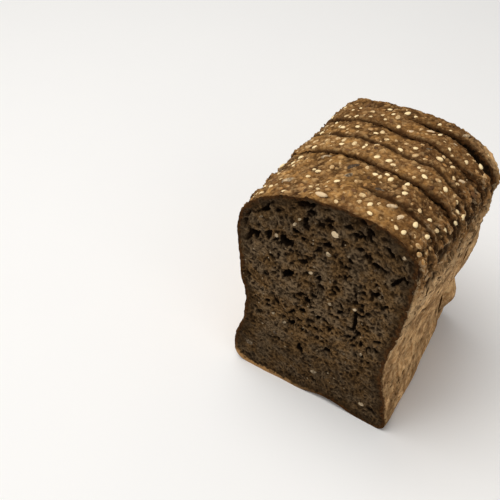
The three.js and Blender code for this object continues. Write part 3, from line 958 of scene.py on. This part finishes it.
def slice_under(point, length):
    """The slice on which a seed lies clear of the cuts, if there is one."""
    room = length / 2 + SEED_EDGE_ROOM
    for piece in SLICES:
        if behind(point, piece.front) > room and -behind(point, piece.back) > room + piece.round:
            return piece
    return None


def span_of(point, piece):
    """How far back in its slice a point lies: 0 at the front, 1 at the back."""
    before = behind(point, piece.front)
    return before / (before - behind(point, piece.back))


def part_over(x):
    """Part of the crust's line at which it passes over x on the crown, by halving."""
    low, high = SEEDED_ARC
    for _ in range(HALVINGS):
        half = (low + high) / 2
        if crust_line.point(half)[0] < x:
            low = half
        else:
            high = half
    return low


def kernel_seeds():
    """The large kernels, each on the slice on which it lies, as in the solids."""
    made = []
    for x, y, turn, length, tone in KERNELS:
        u = part_over(x)
        point, _ = bare_crust(np.array(u), y, 0)
        size = length * np.array([1, KERNEL_WIDTH, KERNEL_HEIGHT])
        seed = Values(u=u, point=point, turn=math.radians(turn), size=size)
        seed.slice = slice_under(point, length)
        seed.sunk = KERNEL_SUNK
        seed.tones = (tone, tone)
        made.append(seed)
    return made


def scatter(kind, taken, draw):
    """Seeds of one kind, clear of those already taken, which they join."""
    goal = len(taken) + kind.count
    own = []
    for _ in range(kind.count * TRIES):
        if len(taken) == goal:
            break
        u = mix(*SEEDED_ARC, next(draw))
        point, outward = bare_crust(np.array(u), LENGTH * next(draw), 0)
        turn = math.pi * next(draw)
        size = np.array(kind.size) * (1 + SEED_SPREAD * (2 * next(draw) - 1))
        home = slice_under(point, size[0])
        if home is None or outward[2] < SEEDED_FLATNESS:
            continue
        rooms = [kind.room * (size[0] + other.size[0]) / 2 for other in taken]
        if any(np.linalg.norm(point - other.point) < room for other, room in zip(taken, rooms)):
            continue
        seed = Values(u=u, point=point, turn=turn, size=size, slice=home, sunk=kind.sunk, tones=kind.tones)
        taken.append(seed)
        own.append(seed)
    return own


def place_seeds():
    """All places of seeds, and the seeds that are made of each kind."""
    places = kernel_seeds()
    made = dict(kernels=list(places))
    draw = draws_from(SEED_DRAW)
    made["linseeds"] = scatter(LINSEED, places, draw)
    made["sesame"] = scatter(SESAME, places, draw)
    for seed in scatter(BURIED, places, draws_from(BURIED_DRAW)):
        if seed.slice.name != "heel" or seed.point[0] < BARE_HEEL_X:
            made["sesame"].append(seed)
    return places, made


# Forms of the seeds and grains
SEED_ROUND = 12
SEED_RINGS = 9
RIDGE_WIDTH = 0.25
TONE_POWER = 0.9


def seed_form(taper, ridge):
    """A seed of length, width and height 1, pointed at one end, with a ridge along its back."""
    t = np.linspace(-1, 1, SEED_RINGS + 2)[1:-1]
    t = np.sin(t * math.pi / 2)
    angle = np.arange(SEED_ROUND) / SEED_ROUND * 2 * math.pi
    girth = np.sqrt(1 - t ** 2) * (1 - taper * t) / (1 + taper ** 2 / 2)
    y = girth[:, None] * np.cos(angle)
    on_back = bell(np.cos(angle) / RIDGE_WIDTH) * (np.sin(angle) > 0)
    z = girth[:, None] * np.sin(angle) * (1 + ridge * on_back)
    x = t[:, None] + 0 * angle
    body = np.stack([x, y, z], axis=-1).reshape(-1, 3)
    points = np.concatenate([body, [[-1, 0, 0], [1, 0, 0]]]) / 2
    faces = ring_quads(np.arange(len(body)).reshape(SEED_RINGS, SEED_ROUND))
    tail, tip = len(body), len(body) + 1
    last = len(body) - SEED_ROUND
    for i in range(SEED_ROUND):
        after = (i + 1) % SEED_ROUND
        faces.append((tail, after, i))
        faces.append((tip, last + i, last + after))
    return points, faces


def joined_forms(name, form, placed, material):
    """One mesh of many copies of a form, each with its size, ways, seat and tone."""
    form_points, form_faces = form
    count = len(form_points)
    points = [seat + (form_points * size) @ np.stack(ways) for size, ways, seat, _ in placed]
    starts = [i * count for i in range(len(placed))]
    faces = [tuple(start + corner for corner in face) for start in starts for face in form_faces]
    tones = np.repeat([tone for *_, tone in placed], count)
    tips = np.tile(form_points[:, 0] + 0.5, len(placed))
    return make_mesh(name, np.concatenate(points), faces, dict(tone=tones, tip=tips), [material])


def placed_seeds(seeds, rng):
    """Seeds in the crust where they lie."""
    placed = []
    for seed in seeds:
        point, home = seed.point, seed.slice
        ways = seed_frame(seed)
        outward = ways[2]
        flat = np.array([seed.u * crust_line.length, point[1]])
        relief = crust_relief(point, outward[2], flat) + SLICE_RISE[home.cut]
        seat = point + outward * (relief - seed.sunk * seed.size[2] / 2)
        seat[1] += cut_shift(point, home, span_of(point, home))
        placed.append((seed.size, ways, seat, mix(*seed.tones, rng.uniform() ** TONE_POWER)))
    return placed


def small_grains(rng):
    """Places of more, smaller grains inside the cut face, none over a hole."""
    places = rng.uniform(GRAINY_LOW, GRAINY_HIGH, (GRAIN_TRIES * SMALL_GRAINS.count, 2))
    middle = (GRAINY_LOW + GRAINY_HIGH) / 2
    inside = np.hypot(*((places - middle) / (GRAINY_HIGH - middle)).T) < 1
    depth = np.maximum(pore_depths(places, HOLES, rng), crumb_cells(places, 0, 1))
    made = []
    for x, z in places[inside & (depth < HELD_DEPTH)][:SMALL_GRAINS.count]:
        length = rng.uniform(*SMALL_GRAINS.length)
        breadth = length * rng.uniform(*SMALL_GRAINS.flat)
        made.append((x, z, length, breadth, rng.uniform(0, 180), rng.uniform(*SMALL_GRAINS.tone)))
    return made


def placed_grains(rng):
    """Grains in the crumb of the cut face."""
    depth, slope = CUTS[0]
    outward = np.array([0.0, -1.0, 0.0])
    placed = []
    for x, z, length, breadth, turn, tone in GRAINS + small_grains(rng):
        angle = math.radians(turn)
        along = np.array([math.cos(angle), 0, math.sin(angle)])
        seat = np.array([x, depth + slope * x, z])
        seat[1] += cut_wave(seat, 0) + CRUMB_WAVES.at(seat) + GRAIN_SUNK * breadth
        size = GRAIN_SHOWN * np.array([length, breadth, GRAIN_HEIGHT * breadth])
        placed.append((size, (along, np.cross(outward, along), outward), seat, tone))
    return placed


# Materials
class Tone:
    """Colours in 0 to 255. A pair runs from dark to light."""

    golden = (106, 70, 34), (202, 152, 88)
    brown = (68, 45, 24), (152, 109, 65)
    darker_crown = (52, 31, 12), (122, 82, 42)
    scorch = (66, 41, 17)
    wall = (180, 135, 87), (240, 197, 142)
    wall_blotch = (104, 72, 42)
    wall_spot = (74, 49, 27)
    front_foot_crust_and_shade = (66, 46, 27)
    ragged_spots_and_gap_shade = (72, 49, 28)
    under_lip_shade = (36, 21, 10)
    pale_lip = (204, 170, 126)
    rocks_shaded_by_height = (30, 17, 7), (140, 100, 58)
    shred = (202, 172, 132)
    shred_gap = (32, 18, 8)
    meal = (92, 60, 30), (240, 198, 138)
    dark_meal = (98, 66, 36)
    speck = (218, 178, 124)
    bran = (58, 38, 22)
    # Painted shade for the crust's hollows
    hollow = (44, 25, 9)
    cut_gap_shade = (50, 29, 10)
    # Painted shade in a ring round each seed
    collar = (74, 48, 25)
    grey_crumb = (50, 38, 26), (138, 115, 87)
    warm_crumb = (54, 38, 21), (136, 104, 66)
    pore = (28, 18, 9)
    fine_pore = (36, 25, 14)
    fleck = (152, 128, 96)
    ridge = (158, 130, 94)
    deep_hole_shade = (16, 9, 5)
    dense_crumb = (38, 25, 12)
    upper_crumb = (30, 20, 12)
    lower_crumb = (34, 23, 12)
    crust_edge = (46, 28, 14), (92, 60, 31)
    pale_foot = (150, 116, 78)
    pale_strip = (176, 134, 86)
    floor = (247, 247, 247), (249, 249, 248)


def linear(colour):
    """A colour in 0 to 255 as opaque linear light, by the sRGB rule."""
    parts = [part / 255 for part in colour]
    return (*[part / 12.92 if part <= 0.04045 else ((part + 0.055) / 1.055) ** 2.4 for part in parts], 1)


class Shader:
    """Builds one material node by node. Sizes are in mm."""

    def __init__(self, name, roughness, specular):
        self.material = bpy.data.materials.new(name)
        self.material.use_nodes = True
        self.tree = self.material.node_tree
        self.surface = self.tree.nodes["Principled BSDF"]
        self.surface.inputs["Roughness"].default_value = roughness
        self.surface.inputs["Specular IOR Level"].default_value = specular
        self.place = self.add("ShaderNodeTexCoord", {})["Object"]

    def link(self, source, target):
        """Joins an output to an input, or sets the input to a value. A tuple is a colour."""
        if isinstance(source, bpy.types.NodeSocket):
            self.tree.links.new(source, target)
        else:
            target.default_value = linear(source) if isinstance(source, tuple) else source

    def add(self, kind, inputs, **settings):
        """The outputs of a new node with the given inputs and settings."""
        node = self.tree.nodes.new(kind)
        for key, value in settings.items():
            setattr(node, key, value)
        for key, value in inputs.items():
            self.link(value, node.inputs[key])
        return node.outputs

    def mark(self, name):
        return self.add("ShaderNodeAttribute", {}, attribute_name=name)["Fac"]

    def noise(self, size, detail, stretch=(1, 1, 1), rough=0.55):
        scale = [part / (size * MM) for part in stretch]
        place = self.add("ShaderNodeMapping", {"Vector": self.place, "Scale": scale})["Vector"]
        inputs = {"Vector": place, "Scale": 1, "Detail": detail, "Roughness": rough}
        return self.add("ShaderNodeTexNoise", inputs)["Fac"]

    def cells(self, size, warp):
        """How far a place lies from the walls of uneven cells: 0 on a wall."""
        bend = self.add("ShaderNodeTexNoise", {"Vector": self.place, "Scale": 1 / (2 * size * MM)})["Color"]
        shift = self.add("ShaderNodeVectorMath", {0: bend, "Scale": warp * MM}, operation="SCALE")[0]
        place = self.add("ShaderNodeVectorMath", {0: self.place, 1: shift}, operation="ADD")[0]
        inputs = {"Vector": place, "Scale": 1 / (size * MM)}
        return self.add("ShaderNodeTexVoronoi", inputs, feature="DISTANCE_TO_EDGE")["Distance"]

    def zone(self, value, low, high, start=0.0, end=1.0):
        """Goes smoothly from start to end as a value goes from low to high."""
        inputs = {"Value": value, "From Min": low, "From Max": high, "To Min": start, "To Max": end}
        return self.add("ShaderNodeMapRange", inputs, interpolation_type="SMOOTHSTEP")["Result"]

    def along(self, axis, low, high):
        """A zone along an axis of the part."""
        place = self.add("ShaderNodeSeparateXYZ", {"Vector": self.place})
        return self.zone(place[axis], low * MM, high * MM)

    def spots(self, size, detail, low, high, rough=0.55):
        """Where noise passes from low to high."""
        return self.zone(self.noise(size, detail, rough=rough), low, high)

    def times(self, a, b):
        return self.add("ShaderNodeMath", {0: a, 1: b}, operation="MULTIPLY")[0]

    def plus(self, a, b):
        return self.add("ShaderNodeMath", {0: a, 1: b}, operation="ADD")[0]

    def blend(self, share, a, b):
        """Colour b over colour a by a share, with the node's sockets for colours."""
        return self.add("ShaderNodeMix", {0: share, 6: a, 7: b}, data_type="RGBA")[2]

    def tint(self, colour, share, most, over):
        """A colour with another over it by a share of the most."""
        return self.blend(self.times(share, most), colour, over)

    def bump(self, height, distance, strength):
        inputs = {"Height": height, "Distance": distance * MM, "Strength": strength}
        self.link(self.add("ShaderNodeBump", inputs)["Normal"], self.surface.inputs["Normal"])

    def colour(self, value):
        self.link(value, self.surface.inputs["Base Color"])
        return self.material


def crown_colour(look):
    """Golden and brown patches of the crown, scorched in spots and darker to the right and the back."""
    mottle = look.spots(3.2, 5, 0.3, 0.7, rough=0.72)
    patchy = look.spots(13, 3, 0.34, 0.66)
    colour = look.blend(patchy, look.blend(mottle, *Tone.brown), look.blend(mottle, *Tone.golden))
    colour = look.tint(colour, look.spots(6, 4, 0.54, 0.68), 0.5, Tone.scorch)
    return look.tint(colour, look.mark("dark"), 0.8, look.blend(mottle, *Tone.darker_crown))


def wall_colour(look):
    """Pale brown of the walls, blotched and spotted, darker at the front foot, partly from bottom crust and
    partly painted shade, and with painted shade along the open cuts.
    """
    colour = look.blend(look.spots(3.2, 4, 0.34, 0.66, rough=0.62), *Tone.wall)
    colour = look.tint(colour, look.spots(9, 4, 0.42, 0.64, rough=0.6), 0.75, Tone.wall_blotch)
    colour = look.tint(colour, look.spots(3.6, 2, 0.62, 0.7), 0.5, Tone.wall_spot)
    # Darker bottom crust and painted shade low at the front, which rounds the corner
    foot = look.times(look.along("Z", 16, 4), look.along("Y", -34, -46))
    colour = look.tint(colour, foot, 0.8, Tone.front_foot_crust_and_shade)
    # Dark ragged spots, and painted shade along the open cuts
    ragged = look.zone(look.plus(look.noise(2.4, 3), look.mark("edge")), 0.66, 0.8)
    return look.tint(colour, ragged, 0.85, Tone.ragged_spots_and_gap_shade)


def torn_colour(look, wall):
    """Lips of the torn sides with painted shade under them and, above them, lumps with painted shade where
    they lie low, with pale shreds and dark gaps between these.
    """
    # Painted shade under the lips, where the relief is low, turning pale on the lips
    lips = look.zone(look.mark("relief"), -0.85, 0.15)
    below = look.blend(lips, Tone.under_lip_shade, look.blend(0.5, wall, Tone.pale_lip))
    # Painted shade on the lumps where the relief is low, brown where it is high
    above = look.blend(look.zone(look.mark("relief"), -0.75, 0.9), *Tone.rocks_shaded_by_height)
    colour = look.blend(look.along("Z", 86, 100), below, above)
    hanging = look.noise(2.2, 4, (0.5, 1.2, 0.5), 0.65)
    lying = look.noise(2.8, 4, (1, 0.45, 1), 0.65)
    upper = look.along("Z", 80, 96)
    shreds = look.plus(look.times(hanging, upper), look.times(lying, look.zone(upper, 0, 1, 1, 0)))
    colour = look.tint(colour, look.zone(shreds, 0.54, 0.62), 0.65, Tone.shred)
    return look.tint(colour, look.zone(shreds, 0.49, 0.41), 0.75, Tone.shred_gap)


def crust_material():
    look = Shader("crust", 0.85, 0.05)
    wall = wall_colour(look)
    colour = look.blend(look.mark("browned"), wall, crown_colour(look))
    colour = look.tint(colour, look.mark("torn"), 0.95, torn_colour(look, wall))
    meal = look.tint(look.blend(look.mark("pale"), *Tone.meal), look.mark("dark"), 0.5, Tone.dark_meal)
    colour = look.tint(colour, look.mark("meal"), look.zone(look.mark("torn"), 0, 1, 0.5, 0.15), meal)
    colour = look.tint(colour, look.spots(0.9, 2, 0.6, 0.72), 0.35, Tone.speck)
    colour = look.tint(colour, look.spots(1.4, 3, 0.6, 0.68), 0.45, Tone.bran)
    # Painted shade in the low parts of the relief, less on the torn bands
    whole = look.zone(look.mark("torn"), 0, 1, 1, 0.45)
    low = look.times(look.zone(look.mark("relief"), 0.15, -0.7), whole)
    colour = look.tint(colour, low, 0.75, Tone.hollow)
    # Painted shade along the open gaps at the cuts, on the crown
    colour = look.tint(colour, look.times(look.mark("edge"), look.mark("browned")), 0.7, Tone.cut_gap_shade)
    # Painted shade in a ring round each seed
    colour = look.tint(colour, look.mark("collar"), 0.4, Tone.collar)
    grain = look.times(look.noise(0.7, 4, rough=0.6), look.zone(look.mark("browned"), 0, 1, 0.45, 1))
    look.bump(grain, 0.25, 0.55)
    return look.colour(colour)


def crumb_colour(look, mottle):
    """Grey and warm patches of the crumb with its webs of pores and its flecks, and painted shade in its
    deep holes and in the gaps between the slices.
    """
    patchy = look.spots(8, 3, 0.38, 0.6)
    colour = look.blend(patchy, look.blend(mottle, *Tone.grey_crumb), look.blend(mottle, *Tone.warm_crumb))
    web = look.cells(2.7, 3.2)
    open_crumb = look.spots(5, 3, 0.38, 0.6)
    colour = look.tint(colour, look.zone(web, 0.08, 0.32), look.zone(open_crumb, 0, 1, 0.4, 0.9), Tone.pore)
    fine_pores = look.zone(look.cells(1.3, 1.6), 0.12, 0.34)
    colour = look.tint(colour, fine_pores, look.zone(open_crumb, 0, 1, 0.4, 0.2), Tone.fine_pore)
    colour = look.tint(colour, look.spots(1.2, 2, 0.64, 0.74), 0.5, Tone.fleck)
    ridge = look.times(look.zone(look.mark("pore"), 0.5, 0.0), look.zone(web, 0.12, 0.0))
    colour = look.tint(colour, ridge, 0.2, Tone.ridge)
    # Painted shade by the pore mark: in the deep holes, and near the crust in the gaps
    return look.tint(colour, look.zone(look.mark("pore"), 0.4, 1.6), 0.95, Tone.deep_hole_shade)


def crumb_material():
    look = Shader("crumb", 0.9, 0.03)
    mottle = look.spots(1.5, 5, 0.3, 0.7, rough=0.72)
    colour = crumb_colour(look, mottle)
    uneven_depth = look.zone(look.noise(5, 3), 0.3, 0.7, -2.5, 2.5)
    dense = look.zone(look.plus(look.mark("rim"), uneven_depth), 8.0, 1.5)
    colour = look.tint(colour, dense, 0.6, Tone.dense_crumb)
    colour = look.tint(colour, look.along("Z", 80, 116), 0.3, Tone.upper_crumb)
    colour = look.tint(colour, look.along("Z", 48, 20), 0.4, Tone.lower_crumb)
    uneven_rim = look.plus(look.mark("rim"), look.zone(look.noise(2.2, 3), 0.3, 0.7, -0.9, 0.9))
    left_foot = look.times(look.along("Z", 12, 4), look.along("X", 14, -12))
    crust_edge = look.blend(left_foot, look.blend(mottle, *Tone.crust_edge), Tone.pale_foot)
    colour = look.blend(look.zone(uneven_rim, 2.3, 0.4), colour, crust_edge)
    strip = look.times(look.zone(uneven_rim, 3.0, 1.6), look.along("Z", 8, 4))
    colour = look.tint(colour, strip, look.along("X", 2, -22), Tone.pale_strip)
    look.bump(look.noise(0.6, 4, rough=0.65), 0.3, 0.7)
    return look.colour(colour)


def seed_material(name, dark, light, roughness):
    look = Shader(name, roughness, 0.15)
    uneven = look.zone(look.noise(1.3, 3), 0.3, 0.7, -0.2, 0.2)
    colour = look.blend(look.zone(look.plus(look.mark("tone"), uneven), 0.0, 1.0), dark, light)
    colour = look.tint(colour, look.zone(look.mark("tip"), 0.75, 1.0), 0.5, dark)
    look.bump(look.noise(0.4, 2), 0.1, 0.3)
    return look.colour(colour)


def floor_material():
    look = Shader("floor", 0.6, 0.2)
    return look.colour(look.blend(look.noise(60, 3), *Tone.floor))


# The loaf
seed_places, seeds_of = place_seeds()
crust = crust_material()
crumb = crumb_material()
for piece in SLICES:
    dressed = slice_piece(piece, seed_places, [crust, crumb])
    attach(dressed, "root")
    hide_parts(piece.name)

# Its seeds and grains: taper and ridge of the form, dark and light colour, and roughness
LOOK_DRAW = 77
SEED_KINDS = [
    ("kernels", (0.2, 0.2), (70, 55, 41), (226, 198, 158), 0.65),
    ("linseeds", (0.4, 0), (52, 33, 16), (112, 77, 44), 0.6),
    ("sesame", (0.22, 0), (168, 122, 68), (255, 230, 178), 0.5),
    ("grains", (0.15, 0), (60, 44, 28), (224, 200, 162), 0.7),
]
look_rng = np.random.default_rng(LOOK_DRAW)
for name, shape, dark, light, roughness in SEED_KINDS:
    material = seed_material(name, dark, light, roughness)
    placed = placed_seeds(seeds_of[name], look_rng) if name in seeds_of else placed_grains(look_rng)
    dressed = joined_forms(name, seed_form(*shape), placed, material)
    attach(dressed, "root")

# Floor, light and camera, in metres
FLOOR_HALF = 3.0
mesh = bpy.data.meshes.new("floor")
corners = [(x * FLOOR_HALF, y * FLOOR_HALF, 0) for x, y in ((-1, -1), (1, -1), (1, 1), (-1, 1))]
mesh.from_pydata(corners, [], [(0, 1, 2, 3)])
mesh.materials.append(floor_material())
floor = bpy.data.objects.new("floor", mesh)
bpy.context.scene.collection.objects.link(floor)

LIGHTS = [
    ("key", (-0.3, -0.15, 1.1), 0.9, 10.6, (1.0, 0.975, 0.94)),
    ("fill", (0.9, -0.5, 0.7), 0.8, 1.8, (1.0, 0.98, 0.96)),
]
AIM = Vector((0, 0, 0.06))
for name, place, side, power, colour in LIGHTS:
    light = bpy.data.lights.new(name, "AREA")
    light.size = side
    light.energy = power
    light.color = colour
    lamp = bpy.data.objects.new(name, light)
    lamp.location = place
    lamp.rotation_euler = (AIM - lamp.location).to_track_quat("-Z", "Y").to_euler()
    bpy.context.scene.collection.objects.link(lamp)

WORLD_STRENGTH = 0.3
world = bpy.data.worlds.new("studio")
world.use_nodes = True
background = world.node_tree.nodes["Background"]
background.inputs["Color"].default_value = (1, 1, 1, 1)
background.inputs["Strength"].default_value = WORLD_STRENGTH
bpy.context.scene.world = world

# The camera's place in the loaf's frame in mm, its turn round from the cut face, and how far it looks down
CAMERA_PLACE = np.array([120.54, -212.03, 328.36])
CAMERA_TURN = math.radians(36.391)
CAMERA_DOWN = math.radians(43.503)
LENS_MM = 57.6
SENSOR_MM = 36
lens = bpy.data.cameras.new("camera")
lens.lens = LENS_MM
lens.sensor_width = SENSOR_MM
camera = bpy.data.objects.new("camera", lens)
aim = Euler((math.pi / 2 - CAMERA_DOWN, 0, CAMERA_TURN)).to_matrix().to_4x4()
camera.matrix_world = Matrix.Translation((CAMERA_PLACE + LOAF_SHIFT) * MM) @ aim
bpy.context.scene.collection.objects.link(camera)
bpy.context.scene.camera = camera
bpy.context.scene.view_settings.view_transform = "Standard"
